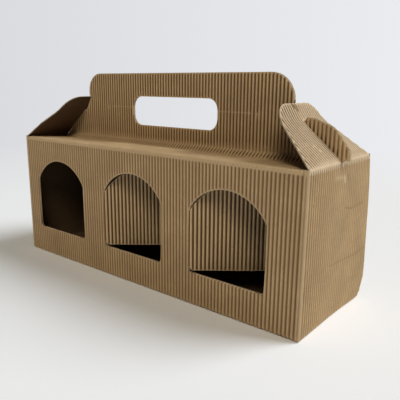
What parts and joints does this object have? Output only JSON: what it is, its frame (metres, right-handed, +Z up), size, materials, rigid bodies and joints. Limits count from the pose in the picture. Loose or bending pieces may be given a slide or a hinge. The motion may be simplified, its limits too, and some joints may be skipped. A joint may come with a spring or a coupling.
{
  "type": "jar shipping box",
  "caption": "Long gable carton of fluted card with arched windows, inner divider flaps, slotted end flaps and a carrying handle with a hand hole.",
  "frame": {"origin": "middle of the carton's footprint, on the surface it stands on", "axes": "+X along the length, to the right seen from the windows; the windows face -Y; +Z up"},
  "size_m": [0.2724, 0.09, 0.1517],
  "materials": {
    "kraft_card": "matt, brown kraft, fluted outside",
    "kraft_flap": "matt, brown kraft, fluted outside"
  },
  "bodies": {
    "box": {"carton": "kraft_card"},
    "left_flap": {"left_end_flap": "kraft_flap"},
    "right_flap": {"right_end_flap": "kraft_flap"},
    "middle_divider": {"middle_divider_flap": "kraft_flap"},
    "right_divider": {"right_divider_flap": "kraft_flap"}
  },
  "joints": [
    {"name": "left_end_flap_fold", "type": "hinge", "parent": "box", "child": "left_flap", "pos_m": [-0.1325, 0, 0.1], "axis": [0, -1, 0], "range_deg": [0, 150]},
    {"name": "right_end_flap_fold", "type": "hinge", "parent": "box", "child": "right_flap", "pos_m": [0.1325, 0, 0.1], "axis": [0, 1, 0], "range_deg": [0, 150]},
    {"name": "middle_divider_fold", "type": "hinge", "parent": "box", "child": "middle_divider", "pos_m": [-0.0332, -0.0435, 0.05], "axis": [0, 0, 1], "range_deg": [-39, 51]},
    {"name": "right_divider_fold", "type": "hinge", "parent": "box", "child": "right_divider", "pos_m": [0.0498, -0.0435, 0.05], "axis": [0, 0, 1], "range_deg": [-39, 51]}
  ]
}
